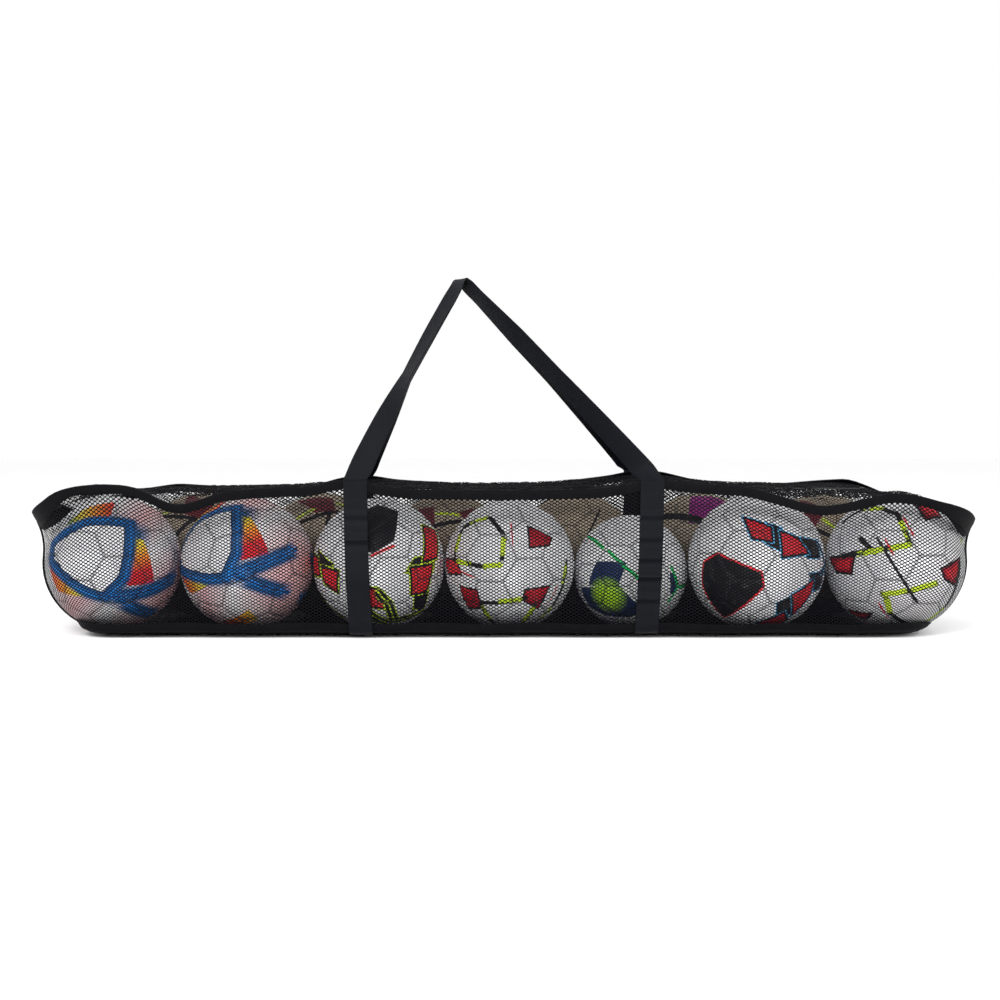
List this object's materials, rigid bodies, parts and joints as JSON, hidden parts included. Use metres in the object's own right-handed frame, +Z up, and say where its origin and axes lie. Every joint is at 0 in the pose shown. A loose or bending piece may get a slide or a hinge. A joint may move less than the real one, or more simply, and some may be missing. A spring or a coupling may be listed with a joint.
{
  "type": "mesh ball bag",
  "caption": "Long box-shaped net carry bag with bound edges, a zipped two-flap top and webbing handles, packed with two rows of footballs.",
  "frame": {"origin": "middle of the base, on the ground", "axes": "+X along the bag, -Y towards the front face, +Z up"},
  "size_m": [1.549, 0.4584, 0.5976],
  "materials": {
    "net": "black knitted polyester net",
    "base_fabric": "black plain-woven polyester",
    "binding": "black ribbed binding tape",
    "webbing": "black polypropylene webbing",
    "zip_tape": "black woven zip tape",
    "zip_coil": "black nylon coil",
    "zip_metal": "black painted zinc",
    "ball_rainbow": "white coated leather with blue and rainbow print",
    "ball_badge": "white coated leather with black and red print",
    "ball_angular": "white coated leather with black, yellow-green and red bars",
    "ball_small": "white coated leather with navy and lime print",
    "ball_panel": "white coated leather with black and red panels",
    "ball_cream": "cream coated leather with dark print"
  },
  "bodies": {
    "bag": {"base_panel": "base_fabric", "front_panel": "net", "back_panel": "net", "end_panel_left": "net", "end_panel_right": "net", "top_end_left": "net", "top_end_right": "net", "top_binding_front": "binding", "top_binding_back": "binding", "top_binding_left": "binding", "top_binding_right": "binding", "bottom_binding_front": "binding", "bottom_binding_back": "binding", "bottom_binding_left": "binding", "bottom_binding_right": "binding", "corner_seam_front_left": "binding", "corner_seam_front_right": "binding", "corner_seam_back_left": "binding", "corner_seam_back_right": "binding", "zip_end_left": "zip_tape", "zip_end_right": "zip_tape", "zip_stop_left": "zip_metal", "zip_stop_right": "zip_metal", "strap_left": "webbing", "strap_right": "webbing", "ball_front_1": "ball_rainbow", "ball_front_2": "ball_rainbow", "ball_front_3": "ball_badge", "ball_front_4": "ball_angular", "ball_front_5": "ball_small", "ball_front_6": "ball_panel", "ball_front_7": "ball_angular", "ball_back_1": "ball_cream", "ball_back_2": "ball_cream", "ball_back_3": "ball_cream", "ball_back_4": "ball_cream", "ball_back_5": "ball_cream", "ball_back_6": "ball_cream"},
    "front_handle": {"handle_front": "webbing"},
    "back_handle": {"handle_back": "webbing"},
    "front_flap": {"top_flap_front": "net", "zip_tape_front": "zip_tape", "zip_coil_front": "zip_coil"},
    "back_flap": {"top_flap_back": "net", "zip_tape_back": "zip_tape", "zip_coil_back": "zip_coil"},
    "slider": {"zip_slider": "zip_metal"},
    "pull": {"zip_pull": "zip_metal"}
  },
  "joints": [
    {"name": "front_handle_drop", "type": "hinge", "parent": "bag", "child": "front_handle", "pos_m": [0, -0.2285, 0.237], "axis": [1, 0, 0], "range_deg": [0, 152]},
    {"name": "back_handle_drop", "type": "hinge", "parent": "bag", "child": "back_handle", "pos_m": [0, 0.2285, 0.237], "axis": [-1, 0, 0], "range_deg": [0, 152]},
    {"name": "front_flap_open", "type": "hinge", "parent": "bag", "child": "front_flap", "pos_m": [0, -0.2066, 0.2352], "axis": [1, 0, 0], "range_deg": [0, 58]},
    {"name": "back_flap_open", "type": "hinge", "parent": "bag", "child": "back_flap", "pos_m": [0, 0.2066, 0.2352], "axis": [-1, 0, 0], "range_deg": [0, 58]},
    {"name": "zip_run", "type": "slide", "parent": "bag", "child": "slider", "axis": [1, 0, 0], "range_m": [0, 1.312]},
    {"name": "pull_flip", "type": "hinge", "parent": "slider", "child": "pull", "pos_m": [-0.706, 0, 0.241], "axis": [0, -1, 0], "range_deg": [0, 180]}
  ]
}
